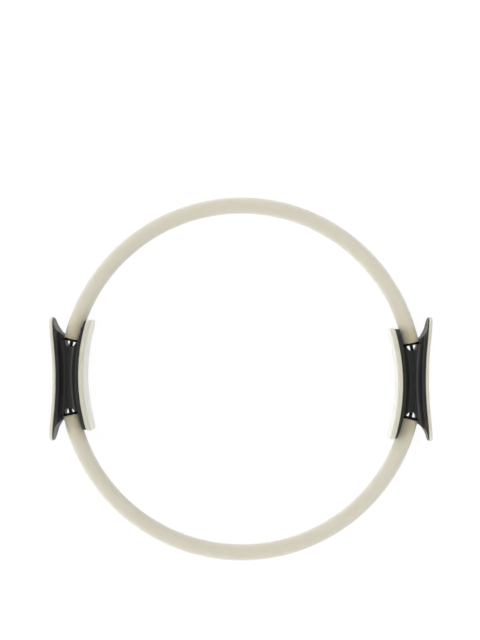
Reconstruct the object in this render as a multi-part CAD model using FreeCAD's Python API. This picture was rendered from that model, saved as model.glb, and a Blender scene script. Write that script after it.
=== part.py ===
import FreeCAD, Part
import math
import os

# A pilates ring lying on its side. Two half-ring spring bands in foam sleeves run between two padded
# handles. Each handle is a spool of two moulded shells that meet along the bands, and the left handle
# is the right one turned half a turn about the ring's axis.
# Millimetres. +Z is up along the ring's axis, +X runs through the right handle, and the origin is on
# the floor under the ring's centre. The pieces are drawn about the ring's middle plane and then raised.

# Spring bands, foam sleeves and end collars
ring_radius = 170.0
band_thickness = 2.5
band_width = 12.0
sleeve_cover = 2.0
collar_thickness = 2.0

# Saddles of a handle: a wall is from the sleeve to the middle of the moulded saddle face, and the inner
# saddle is a little flatter than the ring
outer_saddle_wall = 0.6
outer_saddle_radius = 345.0
outer_saddle_length = 120.0
outer_saddle_corner = 24.0
inner_saddle_wall = 4.7
inner_saddle_flattening = 15.0
inner_saddle_length = 106.0
inner_saddle_corner = 8.0
saddle_skew = 4.0

# Moulded shells: a flange under each saddle and a drafted web that is half of the column
handle_depth = 50.0
rim_thickness = 3.4
rim_round = 1.0
web_wall = 8.0
web_draft = 0.5
web_fillet = 6.0
seam_groove = 0.3

# Mouths, where the ring enters the column: lengths along the ring from the column's middle
mouth_length = 35.2
seat_depth = 4.8
notch_depth = 5.2
notch_radius = 5.2
notch_lip = 1.0
band_stop_width = 5.0

# Horns, the ends of the outer flange beyond the column
horn_thickness = 1.0
horn_root_radius = 18.0

# Foam pads
outer_pad_thickness = 3.5
inner_pad_thickness = 5.0
pad_overhang = 1.0
pad_side_inset = 0.5
pad_edge_round = 1.4

# Screws and nuts: two of each through every band end
screw_diameter = 4.0
screw_point = 0.3
screw_margin = 8.0
screw_pitch = 12.0
screw_head_diameter = 7.0
screw_head_height = 2.6
screw_head_sink = 3.2
screw_drive_diameter = 2.5
screw_drive_depth = 1.6
nut_width = 7.0
nut_height = 3.2
nut_sink = 4.0

# Clearances
band_clearance = 0.2
sleeve_clearance = 0.3
collar_gap = 0.1
seam_gap = 0.1
glue_line = 0.2
screw_clearance = 0.2
nut_clearance = 0.15
overrun = 5.0
matching_tolerance = 0.01

# Sizes that follow
column_middle = -saddle_skew / 2
half_ring_length = math.pi * ring_radius
sleeve_diameter = band_width + 2 * sleeve_cover
channel_half_width = sleeve_diameter / 2 + sleeve_clearance
collar_start = mouth_length + collar_gap
sleeve_start = collar_start + collar_thickness + collar_gap
outer_saddle_reach = ring_radius + sleeve_diameter / 2 + outer_saddle_wall
inner_saddle_reach = ring_radius - sleeve_diameter / 2 - inner_saddle_wall
inner_saddle_radius = ring_radius + inner_saddle_flattening
web_seam_depth = band_width + 2 * web_wall
web_root_depth = web_seam_depth + 2 * web_draft
far_screw_offset = mouth_length - notch_depth - screw_margin
near_screw_offset = far_screw_offset - screw_pitch
screw_offsets = [-far_screw_offset, -near_screw_offset, near_screw_offset, far_screw_offset]
screw_seat = outer_saddle_reach - screw_head_sink
nut_seat = inner_saddle_reach + nut_sink
screw_end = nut_seat - nut_height - screw_point

origin = FreeCAD.Vector(0, 0, 0)
along_x = FreeCAD.Vector(1, 0, 0)
along_z = FreeCAD.Vector(0, 0, 1)
half_turn = 180.0
full_turn = 360.0


def line(start, end):
    return Part.LineSegment(start, end).toShape()


def arc(start, middle, end):
    return Part.Arc(start, middle, end).toShape()


def polygon_face(points):
    return Part.Face(Part.makePolygon(points + points[:1]))


def only_solid(shape):
    """The single solid that a cut or a common has to leave."""
    (solid,) = shape.Solids
    return solid


def ring_point(radius, length):
    """A point at this radius, a length along the ring's centre line from the X axis."""
    angle = length / ring_radius
    return FreeCAD.Vector(radius * math.cos(angle), radius * math.sin(angle), 0)


def ring_arc(radius, start, end):
    middle = ring_point(radius, (start + end) / 2)
    return arc(ring_point(radius, start), middle, ring_point(radius, end))


def carry_round_ring(section, start, end):
    """Carry a section of the XZ plane round the ring between two lengths along it."""
    first = min(start, end)
    turned = section.copy()
    turned.rotate(origin, along_z, math.degrees(first / ring_radius))
    return turned.revolve(origin, along_z, math.degrees(abs(end - start) / ring_radius))


def section_rectangle(first_x, second_x, half_depth):
    return polygon_face([
        FreeCAD.Vector(first_x, 0, -half_depth),
        FreeCAD.Vector(second_x, 0, -half_depth),
        FreeCAD.Vector(second_x, 0, half_depth),
        FreeCAD.Vector(first_x, 0, half_depth),
    ])


def band_section(clearance):
    reach = band_thickness / 2 + clearance
    return section_rectangle(ring_radius - reach, ring_radius + reach, band_width / 2 + clearance)


def tube_section():
    """Round section of a sleeve or collar with the band's slot through it."""
    middle = FreeCAD.Vector(ring_radius, 0, 0)
    circle = Part.Circle(middle, FreeCAD.Vector(0, 1, 0), sleeve_diameter / 2).toShape()
    return Part.Face(Part.Wire([circle])).cut(band_section(band_clearance)).Faces[0]


def saddle_axis(reach, radius, side):
    """Foot of the axis that a saddle curves about: side is 1 for the outer saddle, -1 for the inner."""
    return FreeCAD.Vector(reach + side * radius, 0, 0)


def carry_along_saddle(section, reach, radius, side, length):
    """Carry a section of the XZ plane along a saddle, a little past both ends of its length."""
    axis = saddle_axis(reach, radius, side)
    half_angle = math.degrees(math.asin((length / 2 + overrun) / radius))
    turned = section.copy()
    turned.rotate(axis, along_z, -half_angle)
    return turned.revolve(axis, along_z, half_angle + half_angle)


def saddle_outline(length, depth, corner_radius):
    """Rounded rectangle seen along X, carried from the ring's centre to past the handle."""
    straight_y = length / 2 - corner_radius
    straight_z = depth / 2 - corner_radius
    diagonal = corner_radius * math.sqrt(1 / 2)

    def point(y, z):
        return FreeCAD.Vector(0, y, z)

    edges = []
    for sign in (1, -1):
        end_y = sign * length / 2
        side_z = sign * depth / 2
        edges.append(line(point(end_y, -straight_z), point(end_y, straight_z)))
        edges.append(line(point(-straight_y, side_z), point(straight_y, side_z)))
        for up in (1, -1):
            edges.append(arc(
                point(end_y, up * straight_z),
                point(sign * (straight_y + diagonal), up * (straight_z + diagonal)),
                point(sign * straight_y, up * depth / 2),
            ))
    face = Part.Face(Part.Wire(Part.__sortEdges__(edges)))
    return face.extrude(along_x * (ring_radius + outer_saddle_reach))


def shell_section(reach, side):
    """T section of a shell: the flange, a fillet on each side and the drafted web, past the seam."""
    half_depth = handle_depth / 2 + overrun
    back = reach - side * rim_thickness
    foot = back - side * web_fillet
    end = ring_radius - side * overrun
    root = web_root_depth / 2
    seam = web_seam_depth / 2
    bend = web_fillet * (1 - math.sqrt(1 / 2))

    def point(x, z):
        return FreeCAD.Vector(x, 0, z)

    edges = []
    for up in (1, -1):
        edges.append(line(point(reach, 0), point(reach, up * half_depth)))
        edges.append(line(point(reach, up * half_depth), point(back, up * half_depth)))
        edges.append(line(point(back, up * half_depth), point(back, up * (root + web_fillet))))
        edges.append(arc(
            point(back, up * (root + web_fillet)),
            point(back - side * bend, up * (root + bend)),
            point(foot, up * root),
        ))
        edges.append(line(point(foot, up * root), point(end, up * seam)))
        edges.append(line(point(end, up * seam), point(end, 0)))
    return Part.Face(Part.Wire(Part.__sortEdges__(edges)))


def valley(side):
    """What is open between the horns at one end of the column, with the sleeve's seat at its foot.

    A horn is a thin flange along the saddle, and a round root runs into it from the rim of the seat.
    """
    shoulder = column_middle + side * mouth_length
    seat_end = column_middle + side * (mouth_length + seat_depth)
    past_tips = side * (outer_saddle_length / 2 + overrun)
    inner_radius = ring_radius - channel_half_width
    outer_radius = ring_radius + channel_half_width
    axis = saddle_axis(outer_saddle_reach, outer_saddle_radius, 1)
    horn_radius = outer_saddle_radius + horn_thickness

    def horn_point(y):
        return FreeCAD.Vector(axis.x - math.sqrt(horn_radius ** 2 - y ** 2), y, 0)

    # The root's circle passes through the rim of the seat and touches the back of the horn.
    root = ring_point(outer_radius, seat_end)
    to_axis = axis - root
    distance = to_axis.Length
    towards = FreeCAD.Vector(to_axis).normalize()
    along = (horn_root_radius ** 2 - (horn_radius + horn_root_radius) ** 2 + distance ** 2) / (2 * distance)
    across = math.sqrt(horn_root_radius ** 2 - along ** 2)
    middle = root + towards * along + along_z.cross(towards) * side * across
    landing = middle + (axis - middle).normalize() * horn_root_radius
    halfway = middle + ((root - middle) + (landing - middle)).normalize() * horn_root_radius
    tip = horn_point(past_tips)
    edges = [
        line(ring_point(inner_radius, shoulder), ring_point(outer_radius, shoulder)),
        ring_arc(outer_radius, shoulder, seat_end),
        arc(root, halfway, landing),
        arc(landing, horn_point((landing.y + tip.y) / 2), tip),
        line(tip, ring_point(inner_radius, past_tips)),
        ring_arc(inner_radius, past_tips, shoulder),
    ]
    face = Part.Face(Part.Wire(Part.__sortEdges__(edges)))
    face.translate(along_z * -handle_depth)
    return face.extrude(along_z * (handle_depth + handle_depth))


def notch(side):
    """Round relief through the column below a mouth, with a rounded lip, which lets the band bend."""
    place = column_middle + side * (mouth_length - notch_depth + notch_radius)
    middle = ring_point(ring_radius, place)
    lip_start = web_seam_depth / 2 - notch_lip
    lip_radius = notch_radius + notch_lip
    bend = notch_lip * math.sqrt(1 / 2)

    def point(radius, z):
        return middle + FreeCAD.Vector(radius, 0, z)

    edges = []
    for up in (1, -1):
        edges.append(line(point(notch_radius, 0), point(notch_radius, up * lip_start)))
        edges.append(arc(
            point(notch_radius, up * lip_start),
            point(lip_radius - bend, up * (lip_start + bend)),
            point(lip_radius, up * (lip_start + notch_lip)),
        ))
        edges.append(line(
            point(lip_radius, up * (lip_start + notch_lip)),
            point(lip_radius, up * handle_depth),
        ))
        edges.append(line(point(lip_radius, up * handle_depth), point(0, up * handle_depth)))
        edges.append(line(point(0, up * handle_depth), point(0, 0)))
    face = Part.Face(Part.Wire(Part.__sortEdges__(edges)))
    return face.revolve(middle, along_z, full_turn)


def seam_grooves():
    """V grooves that break the shells' edges along the seam, in front and behind."""
    seam = web_seam_depth / 2
    spread = seam_groove + seam_groove
    grooves = []
    for up in (1, -1):
        face = polygon_face([
            FreeCAD.Vector(ring_radius, 0, up * (seam - seam_groove)),
            FreeCAD.Vector(ring_radius - spread, 0, up * (seam + seam_groove)),
            FreeCAD.Vector(ring_radius + spread, 0, up * (seam + seam_groove)),
        ])
        grooves.append(carry_round_ring(face, column_middle - mouth_length, column_middle + mouth_length))
    return grooves


def band_pockets():
    """Pockets for the two band ends, half in each shell, with a moulded stop between them."""
    pockets = []
    for side in (1, -1):
        start = column_middle + side * band_stop_width / 2
        end = column_middle + side * mouth_length
        pockets.append(carry_round_ring(band_section(band_clearance), start, end))
    return pockets


def screw_place(offset):
    return FreeCAD.Vector(0, column_middle + offset, 0)


def rod_along_x(offset, diameter, first_x, second_x):
    """A round rod through the column, parallel to X."""
    start = screw_place(offset) + along_x * min(first_x, second_x)
    return Part.makeCylinder(diameter / 2, abs(second_x - first_x), start, along_x)


def hexagon_along_x(offset, width, first_x, second_x):
    """A hexagon prism parallel to X, by its width across flats."""
    corner_radius = width / math.sqrt(3)
    corners = []
    for step in range(6):
        angle = step * math.pi / 3
        across = FreeCAD.Vector(first_x, corner_radius * math.cos(angle), corner_radius * math.sin(angle))
        corners.append(screw_place(offset) + across)
    return polygon_face(corners).extrude(along_x * (second_x - first_x))


def screw_holes():
    """Clearance holes along every screw, from beyond one saddle to beyond the other."""
    diameter = screw_diameter + 2 * screw_clearance
    end = outer_saddle_reach + overrun
    return [rod_along_x(offset, diameter, inner_saddle_reach - overrun, end) for offset in screw_offsets]


def head_pockets():
    diameter = screw_head_diameter + 2 * screw_clearance
    end = outer_saddle_reach + overrun
    return [rod_along_x(offset, diameter, screw_seat, end) for offset in screw_offsets]


def nut_pockets():
    width = nut_width + 2 * nut_clearance
    end = inner_saddle_reach - overrun
    return [hexagon_along_x(offset, width, nut_seat, end) for offset in screw_offsets]


def column_cuts():
    """Everything that is cut through both shells."""
    cuts = seam_grooves() + band_pockets() + screw_holes()
    for side in (1, -1):
        cuts.append(valley(side))
        cuts.append(notch(side))
    return cuts


def seam_cylinder(radius):
    return Part.makeCylinder(radius, 2 * handle_depth, along_z * -handle_depth, along_z)


def edges_at_saddle_radius(solid, reach, radius, side, edge_radius):
    """Edges of a solid whose middles lie at this radius from a saddle's axis."""
    axis = saddle_axis(reach, radius, side)
    edges = []
    for edge in solid.Edges:
        middle = edge.valueAt((edge.FirstParameter + edge.LastParameter) / 2)
        distance = math.hypot(middle.x - axis.x, middle.y)
        if abs(distance - edge_radius) < matching_tolerance:
            edges.append(edge)
    return edges


def moulded_shell(reach, radius, side, length, corner):
    """Flange and web of a shell inside its saddle's outline, with a rounded rim, before the cuts."""
    body = carry_along_saddle(shell_section(reach, side), reach, radius, side, length)
    shell = only_solid(body.common(saddle_outline(length, handle_depth, corner)))
    fillet_start = web_root_depth / 2 + web_fillet + matching_tolerance
    back_edges = edges_at_saddle_radius(shell, reach, radius, side, radius + rim_thickness)
    rim_edges = [edge for edge in back_edges if abs(edge.CenterOfMass.z) > fillet_start]
    return only_solid(shell.makeFillet(rim_round, rim_edges))


def outer_shell():
    shell = moulded_shell(outer_saddle_reach, outer_saddle_radius, 1, outer_saddle_length,
                          outer_saddle_corner)
    cuts = column_cuts() + head_pockets() + [seam_cylinder(ring_radius + seam_gap / 2)]
    return only_solid(shell.cut(cuts))


def inner_shell():
    shell = moulded_shell(inner_saddle_reach, inner_saddle_radius, -1, inner_saddle_length,
                          inner_saddle_corner)
    shell.translate(FreeCAD.Vector(0, -saddle_skew, 0))
    shell = shell.common(seam_cylinder(ring_radius - seam_gap / 2))
    return only_solid(shell.cut(column_cuts() + nut_pockets()))


def foam_pad(reach, radius, side, length, corner, thickness):
    """A pad of even thickness on a saddle, with the edge of its outer face rounded."""
    near = reach + side * glue_line
    far = near + side * thickness
    section = section_rectangle(near, far, handle_depth / 2 + overrun)
    slab = carry_along_saddle(section, reach, radius, side, length + 2 * pad_overhang)
    depth = handle_depth - 2 * pad_side_inset
    pad = only_solid(slab.common(saddle_outline(length + 2 * pad_overhang, depth, corner)))
    face_edges = edges_at_saddle_radius(pad, reach, radius, side, radius - glue_line - thickness)
    return only_solid(pad.makeFillet(pad_edge_round, face_edges))


def outer_pad():
    return foam_pad(outer_saddle_reach, outer_saddle_radius, 1, outer_saddle_length, outer_saddle_corner,
                    outer_pad_thickness)


def inner_pad():
    pad = foam_pad(inner_saddle_reach, inner_saddle_radius, -1, inner_saddle_length, inner_saddle_corner,
                   inner_pad_thickness)
    pad.translate(FreeCAD.Vector(0, -saddle_skew, 0))
    return pad


def screw(offset):
    """Pan-head screw from under the outer pad, with a round drive recess."""
    top = screw_seat + screw_head_height
    head = rod_along_x(offset, screw_head_diameter, screw_seat, top)
    shank = rod_along_x(offset, screw_diameter, screw_end, top)
    drive = rod_along_x(offset, screw_drive_diameter, top - screw_drive_depth, top)
    return only_solid(head.fuse(shank).cut(drive).removeSplitter())


def nut(offset):
    end = nut_seat - nut_height
    body = hexagon_along_x(offset, nut_width, nut_seat, end)
    bore = rod_along_x(offset, screw_diameter + 2 * nut_clearance, nut_seat, end)
    return only_solid(body.cut(bore))


def collar(side):
    start = column_middle + side * collar_start
    end = column_middle + side * (collar_start + collar_thickness)
    return carry_round_ring(tube_section(), start, end)


def upper_band():
    """Half ring of spring strip with a hole for every screw that goes through its ends."""
    inset = band_stop_width / 2 + band_clearance
    start = column_middle + inset
    band = carry_round_ring(band_section(0), start, half_ring_length + column_middle - inset)
    right_holes = screw_holes()
    left_holes = [turned_half(hole) for hole in screw_holes()]
    return only_solid(band.cut(right_holes + left_holes))


def upper_sleeve():
    start = column_middle + sleeve_start
    return carry_round_ring(tube_section(), start, half_ring_length + column_middle - sleeve_start)


def turned_half(shape):
    """A copy turned half a turn about the ring's axis."""
    turned = shape.copy()
    turned.rotate(origin, along_z, half_turn)
    return turned


def ring_pieces():
    band = upper_band()
    sleeve = upper_sleeve()
    return {
        "upper_band": band,
        "lower_band": turned_half(band),
        "upper_sleeve": sleeve,
        "lower_sleeve": turned_half(sleeve),
    }


def handle_pieces():
    """Both handles. Turning the right one over puts its upper collar at the left one's lower mouth."""
    right = {
        "outer_shell": outer_shell(),
        "inner_shell": inner_shell(),
        "outer_pad": outer_pad(),
        "inner_pad": inner_pad(),
        "screws": Part.Compound([screw(offset) for offset in screw_offsets]),
        "nuts": Part.Compound([nut(offset) for offset in screw_offsets]),
        "upper_collar": collar(1),
        "lower_collar": collar(-1),
    }
    left_names = {"upper_collar": "lower_collar", "lower_collar": "upper_collar"}
    pieces = {}
    for name, shape in right.items():
        pieces["right_" + name] = shape
        pieces["left_" + left_names.get(name, name)] = turned_half(shape)
    return pieces


os.makedirs("parts", exist_ok=True)
for node, shape in {**ring_pieces(), **handle_pieces()}.items():
    shape.translate(along_z * (handle_depth / 2))
    shape.exportStep("parts/" + node + ".step")
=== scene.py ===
import math

import bmesh
import bpy
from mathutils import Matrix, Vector, noise


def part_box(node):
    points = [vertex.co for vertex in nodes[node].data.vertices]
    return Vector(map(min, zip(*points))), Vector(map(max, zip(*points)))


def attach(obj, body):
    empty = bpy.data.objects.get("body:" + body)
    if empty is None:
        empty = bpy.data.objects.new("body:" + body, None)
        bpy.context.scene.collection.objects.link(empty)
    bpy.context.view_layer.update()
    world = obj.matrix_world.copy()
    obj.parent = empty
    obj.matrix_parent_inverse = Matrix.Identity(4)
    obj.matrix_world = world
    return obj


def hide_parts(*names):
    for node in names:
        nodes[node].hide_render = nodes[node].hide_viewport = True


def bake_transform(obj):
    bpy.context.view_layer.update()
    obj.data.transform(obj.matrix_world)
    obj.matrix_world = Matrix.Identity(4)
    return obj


# A pilates ring lying flat, seen from above: two foam-sleeved half rings between two padded handles.
# Metres, in the frame of the solids: +X runs through the right handle and +Z is the ring's axis.

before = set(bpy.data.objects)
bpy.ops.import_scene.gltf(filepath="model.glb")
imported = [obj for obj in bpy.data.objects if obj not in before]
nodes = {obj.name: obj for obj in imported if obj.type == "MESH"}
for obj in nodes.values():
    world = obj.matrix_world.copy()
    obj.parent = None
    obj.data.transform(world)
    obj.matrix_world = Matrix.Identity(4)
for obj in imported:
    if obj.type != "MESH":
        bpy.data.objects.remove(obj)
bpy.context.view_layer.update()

MM = 0.001

# Edges sharper than this stay sharp on the pieces made here
SMOOTH_ANGLE = math.radians(40)

# Ring, from the solids of the sleeves and bands
sleeve_low, sleeve_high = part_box("upper_sleeve")
band_low, band_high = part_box("upper_band")
SLEEVE_RADIUS = (sleeve_high.z - sleeve_low.z) / 2
RING_HEIGHT = (sleeve_high.z + sleeve_low.z) / 2
RING_RADIUS = sleeve_high.y - SLEEVE_RADIUS
BAND_WIDTH = band_high.z - band_low.z
BAND_THICKNESS = 2 * (band_high.y - RING_RADIUS)

# Spring strips
BAND_CLEARANCE = 0.2 * MM
BAND_EDGE_RADIUS = 0.5 * MM
BAND_SIDES = 48
BAND_STEPS = 170
BAND_EDGE_HALVINGS = 40

# Foam tubes, which swell and shrink a little along their length and round it
SLEEVE_SIDES = 64
SLEEVE_STEPS = 150
SLEEVE_END_ROUND = 0.9 * MM
SLEEVE_END_STEPS = 6
SLEEVE_UNEVENNESS = 0.10 * MM
SLEEVE_SWELL_LENGTH = 45.0 * MM
SLEEVE_SWELL_TURN = 0.8
# How far from each end of a tube the painted light reaches: brighter, warmer foam that lifts the shade beside
# the handles
SLEEVE_PAINTED_LIGHT_REACH = 28.0 * MM

# Pads, with the saddle curves and outlines of their solids repeated here
OUTER_PAD = {"saddle_radius": 345.0 * MM, "corner": 24.0 * MM, "thickness": 3.5 * MM, "crown": 0.5 * MM}
INNER_PAD = {"saddle_radius": 185.0 * MM, "corner": 8.0 * MM, "thickness": 5.0 * MM, "crown": 1.0 * MM}
PAD_EDGE_ROUND = 2.6 * MM
PAD_FOOT_ROUND = 0.5 * MM
PAD_UNEVENNESS = 0.10 * MM
PAD_SWELL_LENGTH = 16.0 * MM
PAD_WELD = 0.01 * MM
PAD_LONG_STEPS = 28
PAD_SHORT_STEPS = 6
PAD_CORNER_STEPS = 12
PAD_GLUED_SHARES = (1.0, 0.75, 0.45, 0.2, 0.06)
PAD_FOOT_STEPS = 4
PAD_EDGE_STEPS = 8
PAD_TOP_STEPS = 12

# Foam skins: size of the cells and blotches, depth of the skin, the two colours it wanders between, and
# what multiplies them: painted shade in its pores and painted warm light at the tube's ends by the handles
FOAM_SHADER = {
    "Specular IOR Level": 0.3,
    "Diffuse Roughness": 1.0,
    "Sheen Weight": 1.0,
    "Sheen Roughness": 0.6,
}
PORE_CORE_SHARE = 0.12
PORE_RIM_SHARE = 0.42
SLEEVE_CELL = 0.5 * MM
SLEEVE_BLOTCH = 14.0 * MM
SLEEVE_SKIN_DEPTH = 0.08 * MM
SLEEVE_CREAM = ((0.580, 0.547, 0.442, 1), (0.640, 0.606, 0.498, 1))
# Painted light near the handles: this multiplies the cream there, brighter and warmer, to lift the shade
# beside the handles
SLEEVE_END_PAINTED_LIGHT = (1.13, 1.07, 0.88, 1)
# Painted shade in the pits of the pores
SLEEVE_PORE_PAINTED_SHADE = (0.92, 0.91, 0.89, 1)
SLEEVE_ROUGHNESS = (0.72, 0.86)
PAD_CELL = 0.65 * MM
PAD_BLOTCH = 18.0 * MM
PAD_SKIN_DEPTH = 0.10 * MM
PAD_CREAM = ((0.565, 0.545, 0.440, 1), (0.622, 0.602, 0.492, 1))
# Painted shade in the pits of the pad's pores
PAD_PORE_PAINTED_SHADE = (0.91, 0.90, 0.88, 1)
PAD_ROUGHNESS = (0.74, 0.88)

# Grained finishes: size of the grain and blotches, depth of the grain, and the colours and the roughness
# that they wander between
SHELL_GRAIN = 0.35 * MM
SHELL_BLOTCH = 25.0 * MM
SHELL_GRAIN_DEPTH = 0.02 * MM
SHELL_BLACK = ((0.0175, 0.0179, 0.0167, 1), (0.0233, 0.0239, 0.0223, 1))
SHELL_ROUGHNESS = (0.30, 0.42)
COLLAR_GRAIN = 0.3 * MM
COLLAR_BLOTCH = 8.0 * MM
COLLAR_GRAIN_DEPTH = 0.03 * MM
COLLAR_BLACK = ((0.006, 0.006, 0.006, 1), (0.012, 0.012, 0.012, 1))
COLLAR_ROUGHNESS = (0.55, 0.7)
BAND_GRAIN = 0.25 * MM
BAND_BLOTCH = 9.0 * MM
BAND_GRAIN_DEPTH = 0.02 * MM
BAND_BLACK = ((0.008, 0.008, 0.008, 1), (0.016, 0.016, 0.017, 1))
BAND_ROUGHNESS = (0.35, 0.5)
STEEL_GRAIN = 0.2 * MM
STEEL_BLOTCH = 4.0 * MM
STEEL_GRAIN_DEPTH = 0.01 * MM
STEEL_GREY = ((0.52, 0.52, 0.53, 1), (0.66, 0.66, 0.65, 1))
STEEL_ROUGHNESS = (0.28, 0.42)
BLOTCH_LOW = 0.3
BLOTCH_HIGH = 0.7

# Handles: the finish of each solid that shows as it is
SOLID_FINISHES = {
    "outer_shell": "shell_plastic",
    "inner_shell": "shell_plastic",
    "upper_collar": "collar_rubber",
    "lower_collar": "collar_rubber",
    "screws": "fastener_steel",
    "nuts": "fastener_steel",
}

# Floor: paper that shows white to the lens but for a trace of shadow, and partly white in reflections
WHITE = (1, 1, 1, 1)
FLOOR_HALF_SIZE = 6.0
FLOOR_DROP = 0.2 * MM
FLOOR_PAPER = (0.9, 0.9, 0.9, 1)
FLOOR_WHITE = 1.03
FLOOR_SEEN_SHARE = 0.90
FLOOR_MIRRORED_SHARE = 0.35

# Light: a white tent, stronger on the right and at both ends of Y, with a bright top that leans to the left
# and is dim where the lens looks in, and a soft box on the left
TENT_LIGHT = 0.50
TENT_TOP_LIGHT = 1.64
TENT_TOP_LEAN = math.radians(4)
TENT_TOP_RIM = math.radians(56)
TENT_TOP_FULL = math.radians(22)
TENT_RIGHT_SHARE = 0.14
TENT_ENDS_SHARE = 1.70
TENT_EYE_LIGHT = 0.08
TENT_EYE_RIM = math.radians(34)
TENT_EYE_FULL = math.radians(15)
BOX_LIGHT = 3.4
BOX_TILT = math.radians(48)
BOX_RIM = math.radians(24)
BOX_FULL = math.radians(10)

# Camera: the ring's centre in the 480 x 640 picture, the scale there, where the lens stands, how far it
# sees, and the sensor's width in millimetres
PICTURE_WIDTH = 480
PICTURE_HEIGHT = 640
RING_CENTRE_PIXEL = (240.75, 378.96)
METRES_PER_PIXEL = 0.9804 * MM
CAMERA_HEIGHT = 1650.0 * MM
CAMERA_RIGHT = 30.0 * MM
CAMERA_SIGHT = 50.0
SENSOR_WIDTH = 36.0

# Places of the colour sockets on a Mix node, two that go in and one that comes out
MIX_FIRST_COLOUR = 6
MIX_SECOND_COLOUR = 7
MIX_COLOUR = 2


def place(name, data):
    """A new object in the scene."""
    piece = bpy.data.objects.new(name, data)
    bpy.context.scene.collection.objects.link(piece)
    return piece


def piece_from(name, bm):
    """A piece with its faces turned outwards, smooth but for its sharp edges."""
    bmesh.ops.recalc_face_normals(bm, faces=bm.faces)
    for face in bm.faces:
        face.smooth = True
    for edge in bm.edges:
        edge.smooth = edge.calc_face_angle(0.0) < SMOOTH_ANGLE
    mesh = bpy.data.meshes.new(name)
    bm.to_mesh(mesh)
    bm.free()
    return place(name, mesh)


def join_loops(bm, first, second):
    """Faces between two closed loops of as many points."""
    count = len(first)
    for i in range(count):
        j = (i + 1) % count
        bm.faces.new((first[i], first[j], second[j], second[i]))


def join_row(bm, loops):
    """Faces from each closed loop of a row to the next."""
    for before, after in zip(loops, loops[1:]):
        join_loops(bm, before, after)


def angle_about_ring(spot):
    """Angle of a spot about the ring's axis, from +X."""
    return math.atan2(spot.y, spot.x) % (2 * math.pi)


def angle_range(node):
    """First and last angle about the ring's axis of a solid in one half of the ring."""
    angles = [angle_about_ring(vertex.co) for vertex in nodes[node].data.vertices]
    return min(angles), max(angles)


def ring_position(angle, outwards, up):
    """Spot beside the ring's middle line."""
    radius = RING_RADIUS + outwards
    return Vector((radius * math.cos(angle), radius * math.sin(angle), RING_HEIGHT + up))


def band_section(half_thickness, half_width, count):
    """Points of a strip's section, a rounded rectangle, found along rays from its middle at even angles."""
    points = []
    for i in range(count):
        angle = 2 * math.pi * i / count
        ray = Vector((math.cos(angle), math.sin(angle)))
        low, high = 0.0, half_thickness + half_width
        for _ in range(BAND_EDGE_HALVINGS):
            reach = (low + high) / 2
            past_x = max(abs(ray.x * reach) - (half_thickness - BAND_EDGE_RADIUS), 0.0)
            past_y = max(abs(ray.y * reach) - (half_width - BAND_EDGE_RADIUS), 0.0)
            if math.hypot(past_x, past_y) < BAND_EDGE_RADIUS:
                low = reach
            else:
                high = reach
        points.append((ray.x * low, ray.y * low))
    return points


def band_loop(bm, angle, section):
    """A strip's section as new points at an angle of the ring."""
    return [bm.verts.new(ring_position(angle, x, z)) for x, z in section]


def spring_band(node):
    """Half ring of spring strip with its edges rounded."""
    start, end = angle_range(node)
    section = band_section(BAND_THICKNESS / 2, BAND_WIDTH / 2, BAND_SIDES)
    bm = bmesh.new()
    loops = []
    for i in range(BAND_STEPS + 1):
        angle = start + (end - start) * i / BAND_STEPS
        loops.append(band_loop(bm, angle, section))
    join_row(bm, loops)
    bm.faces.new(loops[0])
    bm.faces.new(loops[-1])
    return piece_from(node + "_strip", bm)


def sleeve_radius_at(angle, around):
    """Foam isn't turned: its radius wanders a little along and round the tube."""
    along = angle * RING_RADIUS / SLEEVE_SWELL_LENGTH
    spot = Vector((along, SLEEVE_SWELL_TURN * math.cos(around), SLEEVE_SWELL_TURN * math.sin(around)))
    return SLEEVE_RADIUS + SLEEVE_UNEVENNESS * noise.noise(spot)


def sleeve_stations(start, end):
    """Angles along a foam tube, each with how far the skin draws in there to round the ends."""
    stations = []
    for i in range(SLEEVE_END_STEPS + 1):
        turn = math.pi / 2 * i / SLEEVE_END_STEPS
        drop = SLEEVE_END_ROUND * (1 - math.sin(turn))
        stations.append((start + SLEEVE_END_ROUND * (1 - math.cos(turn)) / RING_RADIUS, drop))
    inner_start = stations[-1][0]
    inner_end = start + end - inner_start
    for i in range(1, SLEEVE_STEPS):
        stations.append((inner_start + (inner_end - inner_start) * i / SLEEVE_STEPS, 0.0))
    for angle, drop in reversed(stations[:SLEEVE_END_STEPS + 1]):
        stations.append((start + end - angle, drop))
    return stations


def sleeve_loop(bm, angle, drop):
    """The skin of a foam tube as new points at an angle of the ring."""
    loop = []
    for i in range(SLEEVE_SIDES):
        around = 2 * math.pi * i / SLEEVE_SIDES
        radius = sleeve_radius_at(angle, around) - drop
        spot = ring_position(angle, radius * math.cos(around), radius * math.sin(around))
        loop.append(bm.verts.new(spot))
    return loop


def mark_painted_light_ends(bm, start, end):
    """Nearness to the tube's ends as a value on its points, for the painted warm light near the handles in
    the foam's colour.
    """
    nearness = bm.verts.layers.float.new("painted_light_near_end")
    for vertex in bm.verts:
        angle = angle_about_ring(vertex.co)
        distance = min(angle - start, end - angle) * RING_RADIUS
        vertex[nearness] = max(1 - max(distance, 0.0) / SLEEVE_PAINTED_LIGHT_REACH, 0.0)


def foam_sleeve(node):
    """Foam tube over a band, with rounded ends and the band's slot through it."""
    start, end = angle_range(node)
    slot = band_section(BAND_THICKNESS / 2 + BAND_CLEARANCE, BAND_WIDTH / 2 + BAND_CLEARANCE, SLEEVE_SIDES)
    stations = sleeve_stations(start, end)
    bm = bmesh.new()
    skin = [sleeve_loop(bm, angle, drop) for angle, drop in stations]
    bore = [band_loop(bm, angle, slot) for angle, _ in stations]
    join_row(bm, skin)
    join_row(bm, bore)
    join_loops(bm, skin[0], bore[0])
    join_loops(bm, skin[-1], bore[-1])
    mark_painted_light_ends(bm, start, end)
    return piece_from(node + "_foam", bm)


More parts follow.
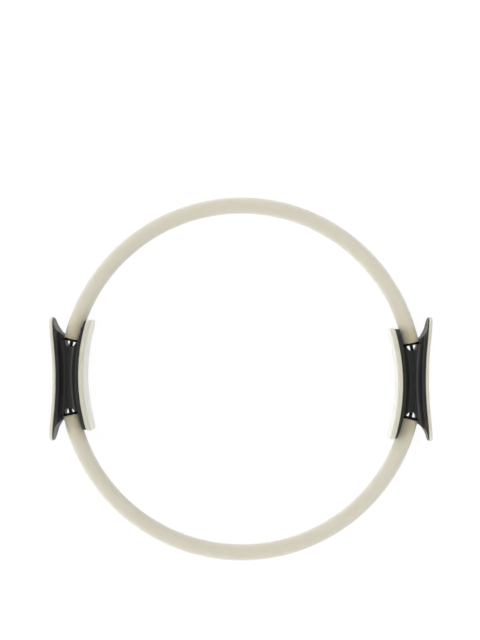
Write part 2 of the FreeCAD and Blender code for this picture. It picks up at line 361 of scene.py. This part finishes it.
def pad_outline(half_length, half_depth, corner):
    """Points round a pad seen along X, as (y, z): one short and one long side with their corners, and
    the same turned half a turn."""
    half = []
    straight_y = half_length - corner
    straight_z = half_depth - corner
    for i in range(PAD_SHORT_STEPS):
        half.append((half_length, straight_z * (2 * i / PAD_SHORT_STEPS - 1)))
    for i in range(PAD_CORNER_STEPS):
        turn = math.pi / 2 * i / PAD_CORNER_STEPS
        half.append((straight_y + corner * math.cos(turn), straight_z + corner * math.sin(turn)))
    for i in range(PAD_LONG_STEPS):
        half.append((straight_y * (1 - 2 * i / PAD_LONG_STEPS), half_depth))
    for i in range(PAD_CORNER_STEPS):
        turn = math.pi / 2 * i / PAD_CORNER_STEPS
        half.append((-straight_y - corner * math.sin(turn), straight_z + corner * math.cos(turn)))
    return half + [(-y, -z) for y, z in half]


def pad_profile(half_depth, thickness, crown):
    """Inset and height from the middle of the glued face, over the rounded edge, to the middle of the top."""
    profile = [(half_depth * share, 0.0) for share in PAD_GLUED_SHARES]
    for i in range(PAD_FOOT_STEPS + 1):
        turn = math.pi / 2 * i / PAD_FOOT_STEPS
        profile.append((PAD_FOOT_ROUND * (1 - math.sin(turn)), PAD_FOOT_ROUND * (1 - math.cos(turn))))
    for i in range(PAD_EDGE_STEPS + 1):
        turn = math.pi / 2 * i / PAD_EDGE_STEPS
        height = thickness - PAD_EDGE_ROUND * (1 - math.sin(turn))
        profile.append((PAD_EDGE_ROUND * (1 - math.cos(turn)), height))
    for i in range(1, PAD_TOP_STEPS + 1):
        inset = PAD_EDGE_ROUND + (half_depth - PAD_EDGE_ROUND) * i / PAD_TOP_STEPS
        profile.append((inset, thickness + crown * math.sin(math.pi / 2 * i / PAD_TOP_STEPS)))
    return profile


def foam_pad(node, faces, saddle_radius, corner, thickness, crown):
    """Moulded foam pad in a saddle: faces is the X direction that its free face looks in."""
    low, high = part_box(node)
    middle = (low + high) / 2
    half_length = (high.y - low.y) / 2
    half_depth = (high.z - low.z) / 2
    base = low.x if faces > 0 else high.x
    axis = base + faces * saddle_radius
    spine_share = (half_length - half_depth) / half_length
    outline = pad_outline(half_length, half_depth, corner)
    bm = bmesh.new()
    loops = []
    for inset, height in pad_profile(half_depth, thickness, crown):
        inset_share = inset / half_depth
        loop = []
        for y, z in outline:
            y_in = y + (y * spine_share - y) * inset_share
            z_in = z * (1 - inset_share)
            spot = Vector((y_in, z_in, base)) / PAD_SWELL_LENGTH
            lift = height + PAD_UNEVENNESS * noise.noise(spot) * min(height / thickness, 1.0)
            radius = saddle_radius - lift
            x = axis - faces * math.sqrt(radius ** 2 - y_in ** 2)
            loop.append(bm.verts.new((x, middle.y + y_in, middle.z + z_in)))
        loops.append(loop)
    join_row(bm, loops)
    bmesh.ops.remove_doubles(bm, verts=loops[0] + loops[-1], dist=PAD_WELD)
    return piece_from(node + "_foam", bm)


# Node helpers


def add_node(tree, kind, settings=None, inputs=None):
    """A node with its settings, and each input set to a value or joined to an output."""
    made = tree.nodes.new(kind)
    for name, value in (settings or {}).items():
        setattr(made, name, value)
    for name, value in (inputs or {}).items():
        if isinstance(value, bpy.types.NodeSocket):
            tree.links.new(value, made.inputs[name])
        else:
            made.inputs[name].default_value = value
    return made


def add_math(tree, operation, *terms):
    """What a Math node makes of values and outputs."""
    return add_node(tree, "ShaderNodeMath", {"operation": operation}, dict(enumerate(terms))).outputs[0]


def new_group(name, inputs, outputs):
    """An empty shader node group of sizes, a millimetre each until they are set, and of float outputs."""
    tree = bpy.data.node_groups.new(name, "ShaderNodeTree")
    for label in inputs:
        socket = tree.interface.new_socket(label, in_out="INPUT", socket_type="NodeSocketFloat")
        socket.default_value = MM
    for label in outputs:
        tree.interface.new_socket(label, in_out="OUTPUT", socket_type="NodeSocketFloat")
    return tree, tree.nodes.new("NodeGroupInput"), tree.nodes.new("NodeGroupOutput")


def fine_grain_group():
    """Height of a fine surface grain, and broad blotches from handling: sizes in metres."""
    tree, entry, leave = new_group("Fine Grain", ("Grain Size", "Blotch Size"), ("Height", "Blotches"))
    spot = add_node(tree, "ShaderNodeTexCoord").outputs["Object"]
    grain_scale = add_math(tree, "DIVIDE", 1.0, entry.outputs["Grain Size"])
    blotch_scale = add_math(tree, "DIVIDE", 1.0, entry.outputs["Blotch Size"])
    grain = add_node(tree, "ShaderNodeTexNoise", {},
                     {"Vector": spot, "Scale": grain_scale, "Detail": 2.0, "Roughness": 0.55})
    blotches = add_node(tree, "ShaderNodeTexNoise", {},
                        {"Vector": spot, "Scale": blotch_scale, "Detail": 4.0, "Roughness": 0.6})
    tree.links.new(grain.outputs["Fac"], leave.inputs["Height"])
    tree.links.new(blotches.outputs["Fac"], leave.inputs["Blotches"])
    return tree


def foam_skin_group():
    """Skin of closed-cell foam: its height with fine pores, a mask of the pores, and broad blotches."""
    tree, entry, leave = new_group("Foam Skin", ("Cell Size", "Blotch Size"), ("Height", "Pores", "Blotches"))
    spot = add_node(tree, "ShaderNodeTexCoord").outputs["Object"]
    cell_scale = add_math(tree, "DIVIDE", 1.0, entry.outputs["Cell Size"])
    cells = add_node(tree, "ShaderNodeTexVoronoi", {}, {"Vector": spot, "Scale": cell_scale})
    pores = add_node(tree, "ShaderNodeMapRange", {"interpolation_type": "SMOOTHSTEP"},
                     {"Value": cells.outputs["Distance"], "From Min": PORE_CORE_SHARE,
                      "From Max": PORE_RIM_SHARE, "To Min": 1.0, "To Max": 0.0}).outputs["Result"]
    grain = add_node(tree, "ShaderNodeGroup", {"node_tree": FINE_GRAIN},
                     {"Grain Size": entry.outputs["Cell Size"], "Blotch Size": entry.outputs["Blotch Size"]})
    height = add_math(tree, "SUBTRACT", grain.outputs["Height"], pores)
    tree.links.new(height, leave.inputs["Height"])
    tree.links.new(pores, leave.inputs["Pores"])
    tree.links.new(grain.outputs["Blotches"], leave.inputs["Blotches"])
    return tree


FINE_GRAIN = fine_grain_group()
FOAM_SKIN = foam_skin_group()


# Materials


def new_material(name, settings):
    """A material with a Principled shader whose plain sockets are set."""
    material = bpy.data.materials.new(name)
    material.use_nodes = True
    tree = material.node_tree
    tree.nodes.clear()
    shader = add_node(tree, "ShaderNodeBsdfPrincipled", {}, settings)
    add_node(tree, "ShaderNodeOutputMaterial", {}, {"Surface": shader.outputs["BSDF"]})
    return material, tree, shader


def tint(tree, mask, colours):
    """A colour that wanders between a pair of colours by a mask."""
    mixed = add_node(tree, "ShaderNodeMix", {"data_type": "RGBA"},
                     {"Factor": mask, MIX_FIRST_COLOUR: colours[0], MIX_SECOND_COLOUR: colours[1]})
    return mixed.outputs[MIX_COLOUR]


def shade_by(tree, mask, colour, shade):
    """A colour multiplied by a shade where a mask is high."""
    mixed = add_node(tree, "ShaderNodeMix", {"data_type": "RGBA", "blend_type": "MULTIPLY"},
                     {"Factor": mask, MIX_FIRST_COLOUR: colour, MIX_SECOND_COLOUR: shade})
    return mixed.outputs[MIX_COLOUR]


def finish_surface(tree, shader, colour, group, roughness, depth):
    """Give a shader its colour, and from a grain or skin group its blotched roughness and its relief."""
    blotched = add_node(tree, "ShaderNodeMapRange", {},
                        {"Value": group.outputs["Blotches"], "From Min": BLOTCH_LOW, "From Max": BLOTCH_HIGH,
                         "To Min": roughness[0], "To Max": roughness[1]})
    relief = add_node(tree, "ShaderNodeBump", {},
                      {"Height": group.outputs["Height"], "Distance": depth, "Strength": 1.0})
    tree.links.new(colour, shader.inputs["Base Color"])
    tree.links.new(blotched.outputs["Result"], shader.inputs["Roughness"])
    tree.links.new(relief.outputs["Normal"], shader.inputs["Normal"])


def foam_skin_in(tree, cell_size, blotch_size):
    """The foam skin group at its sizes in a material."""
    return add_node(tree, "ShaderNodeGroup", {"node_tree": FOAM_SKIN},
                    {"Cell Size": cell_size, "Blotch Size": blotch_size})


def grain_surface(tree, shader, grain_size, blotch_size, depth, colours, roughness):
    """Finish a shader with the fine grain group at its sizes and a blotched colour."""
    grain = add_node(tree, "ShaderNodeGroup", {"node_tree": FINE_GRAIN},
                     {"Grain Size": grain_size, "Blotch Size": blotch_size})
    colour = tint(tree, grain.outputs["Blotches"], colours)
    finish_surface(tree, shader, colour, grain, roughness, depth)


def sleeve_foam_material():
    """Cream foam tube with a fine closed skin, painted brighter and warmer towards the handles to lift the
    shade there, and with painted shade in its pores.
    """
    material, tree, shader = new_material("sleeve_foam", FOAM_SHADER)
    skin = foam_skin_in(tree, SLEEVE_CELL, SLEEVE_BLOTCH)
    # Painted light: the foam's colour is lifted and warmed near the handles, where the handles shade it
    painted_light_near_end = add_node(tree, "ShaderNodeAttribute", {"attribute_name": "painted_light_near_end"})
    cream = tint(tree, skin.outputs["Blotches"], SLEEVE_CREAM)
    cream = shade_by(tree, painted_light_near_end.outputs["Fac"], cream, SLEEVE_END_PAINTED_LIGHT)
    # Painted shade in the pits of the pores
    cream = shade_by(tree, skin.outputs["Pores"], cream, SLEEVE_PORE_PAINTED_SHADE)
    finish_surface(tree, shader, cream, skin, SLEEVE_ROUGHNESS, SLEEVE_SKIN_DEPTH)
    return material


def pad_foam_material():
    """Cream foam sheet, a little greener than the sleeves, with painted shade in its pores."""
    material, tree, shader = new_material("pad_foam", FOAM_SHADER)
    skin = foam_skin_in(tree, PAD_CELL, PAD_BLOTCH)
    cream = tint(tree, skin.outputs["Blotches"], PAD_CREAM)
    # Painted shade in the pits of the pores
    cream = shade_by(tree, skin.outputs["Pores"], cream, PAD_PORE_PAINTED_SHADE)
    finish_surface(tree, shader, cream, skin, PAD_ROUGHNESS, PAD_SKIN_DEPTH)
    return material


def shell_plastic_material():
    """Black moulded plastic with a satin mould grain."""
    material, tree, shader = new_material("shell_plastic", {"Specular IOR Level": 0.26})
    grain_surface(tree, shader, SHELL_GRAIN, SHELL_BLOTCH, SHELL_GRAIN_DEPTH, SHELL_BLACK, SHELL_ROUGHNESS)
    return material


def collar_rubber_material():
    """Matt black rubber."""
    material, tree, shader = new_material("collar_rubber", {"Specular IOR Level": 0.3})
    grain_surface(tree, shader, COLLAR_GRAIN, COLLAR_BLOTCH, COLLAR_GRAIN_DEPTH, COLLAR_BLACK,
                  COLLAR_ROUGHNESS)
    return material


def band_laminate_material():
    """Satin black glass-fibre laminate."""
    material, tree, shader = new_material("band_laminate", {"Specular IOR Level": 0.4})
    grain_surface(tree, shader, BAND_GRAIN, BAND_BLOTCH, BAND_GRAIN_DEPTH, BAND_BLACK, BAND_ROUGHNESS)
    return material


def fastener_steel_material():
    """Zinc-plated steel of the screws and nuts."""
    material, tree, shader = new_material("fastener_steel", {"Metallic": 1.0})
    grain_surface(tree, shader, STEEL_GRAIN, STEEL_BLOTCH, STEEL_GRAIN_DEPTH, STEEL_GREY, STEEL_ROUGHNESS)
    return material


def floor_material():
    """White floor. What looks at it sees paper white with only a trace of the object's shadow."""
    material = bpy.data.materials.new("floor_paper")
    material.use_nodes = True
    tree = material.node_tree
    tree.nodes.clear()
    paper = add_node(tree, "ShaderNodeBsdfDiffuse", {}, {"Color": FLOOR_PAPER})
    white = add_node(tree, "ShaderNodeEmission", {}, {"Color": WHITE, "Strength": FLOOR_WHITE})
    path = add_node(tree, "ShaderNodeLightPath")
    looks = add_math(tree, "MAXIMUM", path.outputs["Is Camera Ray"], path.outputs["Is Transmission Ray"])
    seen = add_math(tree, "MULTIPLY", looks, FLOOR_SEEN_SHARE)
    mirrored = add_math(tree, "MULTIPLY", path.outputs["Is Glossy Ray"], FLOOR_MIRRORED_SHARE)
    white_share = add_math(tree, "MAXIMUM", seen, mirrored)
    mixed = add_node(tree, "ShaderNodeMixShader", {},
                     {0: white_share, 1: paper.outputs[0], 2: white.outputs[0]})
    add_node(tree, "ShaderNodeOutputMaterial", {}, {"Surface": mixed.outputs[0]})
    return material


MATERIALS = {
    "sleeve_foam": sleeve_foam_material(),
    "pad_foam": pad_foam_material(),
    "shell_plastic": shell_plastic_material(),
    "collar_rubber": collar_rubber_material(),
    "band_laminate": band_laminate_material(),
    "fastener_steel": fastener_steel_material(),
}


# The ring and its studio


def give(piece, material):
    """Cover a piece with one material."""
    piece.data.materials.clear()
    piece.data.materials.append(material)


def dress_half_ring(half):
    """Make a half ring's foam tube and spring strip, which stretch between the two handles."""
    for make, node, finish in (
        (foam_sleeve, half + "_sleeve", "sleeve_foam"),
        (spring_band, half + "_band", "band_laminate"),
    ):
        piece = make(node)
        give(piece, MATERIALS[finish])
        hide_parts(node)
        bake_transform(piece)


def dress_handle(side, outwards):
    """Make a handle's two foam pads, and give its other solids their finishes."""
    for node, form, faces in (
        (side + "_outer_pad", OUTER_PAD, outwards),
        (side + "_inner_pad", INNER_PAD, -outwards),
    ):
        pad = foam_pad(node, faces, **form)
        give(pad, MATERIALS["pad_foam"])
        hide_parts(node)
        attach(pad, side + "_handle")
    for name, finish in SOLID_FINISHES.items():
        give(nodes[side + "_" + name], MATERIALS[finish])


def lay_floor():
    """A wide sheet of paper just under the ring."""
    bm = bmesh.new()
    bmesh.ops.create_grid(bm, x_segments=1, y_segments=1, size=FLOOR_HALF_SIZE)
    mesh = bpy.data.meshes.new("floor")
    bm.to_mesh(mesh)
    bm.free()
    floor = place("floor", mesh)
    floor.location.z = -FLOOR_DROP
    give(floor, floor_material())


def leaning_left(angle):
    """Direction at an angle from straight up to the left."""
    return (-math.sin(angle), 0.0, math.cos(angle))


def glow(tree, direction, towards, rim, full, outside, inside):
    """Light that goes from outside at the rim angle about a direction to inside at the full angle."""
    nearness = add_node(tree, "ShaderNodeVectorMath", {"operation": "DOT_PRODUCT"},
                        {0: direction, 1: towards})
    shaded = add_node(tree, "ShaderNodeMapRange", {"interpolation_type": "SMOOTHSTEP"},
                      {"Value": nearness.outputs["Value"], "From Min": math.cos(rim),
                       "From Max": math.cos(full), "To Min": outside, "To Max": inside})
    return shaded.outputs["Result"]


def tent_light(tree, direction):
    """Light of the tent: its bright top, the right-hand fill, the bright ends and the dim eye."""
    split = add_node(tree, "ShaderNodeSeparateXYZ", {}, {0: direction})
    top = glow(tree, direction, leaning_left(TENT_TOP_LEAN), TENT_TOP_RIM, TENT_TOP_FULL,
               TENT_LIGHT, TENT_TOP_LIGHT)
    eye = glow(tree, direction, leaning_left(0.0), TENT_EYE_RIM, TENT_EYE_FULL, 1.0, TENT_EYE_LIGHT)
    sides = add_math(tree, "MULTIPLY_ADD", split.outputs["X"], TENT_RIGHT_SHARE, 1.0)
    end_square = add_math(tree, "MULTIPLY", split.outputs["Y"], split.outputs["Y"])
    ends = add_math(tree, "MULTIPLY_ADD", end_square, TENT_ENDS_SHARE, 1.0)
    lit = add_math(tree, "MULTIPLY", top, sides)
    lit = add_math(tree, "MULTIPLY", lit, ends)
    return add_math(tree, "MULTIPLY", lit, eye)


def light_world():
    """The white tent and the soft box. The backdrop that the lens sees is plain white."""
    world = bpy.data.worlds.new("studio")
    bpy.context.scene.world = world
    world.use_nodes = True
    tree = world.node_tree
    tree.nodes.clear()
    direction = add_node(tree, "ShaderNodeTexCoord").outputs["Generated"]
    box = glow(tree, direction, leaning_left(BOX_TILT), BOX_RIM, BOX_FULL, 0.0, BOX_LIGHT)
    lit = add_math(tree, "ADD", tent_light(tree, direction), box)
    seen = add_node(tree, "ShaderNodeLightPath").outputs["Is Camera Ray"]
    strength = add_node(tree, "ShaderNodeMix", {"data_type": "FLOAT"}, {"Factor": seen, "A": lit, "B": 1.0})
    light = add_node(tree, "ShaderNodeBackground", {},
                     {"Color": WHITE, "Strength": strength.outputs["Result"]})
    add_node(tree, "ShaderNodeOutputWorld", {}, {"Surface": light.outputs["Background"]})


def set_camera():
    """The lens looks down from a little to the right, with the ring below the middle of the picture."""
    aim = Vector((
        (PICTURE_WIDTH / 2 - RING_CENTRE_PIXEL[0]) * METRES_PER_PIXEL,
        (RING_CENTRE_PIXEL[1] - PICTURE_HEIGHT / 2) * METRES_PER_PIXEL,
        RING_HEIGHT,
    ))
    back = Vector((CAMERA_RIGHT, 0, CAMERA_HEIGHT))
    data = bpy.data.cameras.new("camera")
    data.sensor_width = SENSOR_WIDTH
    data.lens = back.length / METRES_PER_PIXEL * SENSOR_WIDTH / PICTURE_HEIGHT
    data.clip_end = CAMERA_SIGHT
    camera = place("camera", data)
    camera.location = aim + back
    camera.rotation_euler.y = math.atan2(CAMERA_RIGHT, CAMERA_HEIGHT)
    bpy.context.scene.camera = camera


for half in ("upper", "lower"):
    dress_half_ring(half)
for side, outwards in (("right", 1), ("left", -1)):
    dress_handle(side, outwards)
lay_floor()
light_world()
set_camera()
bpy.context.scene.view_settings.view_transform = "Standard"
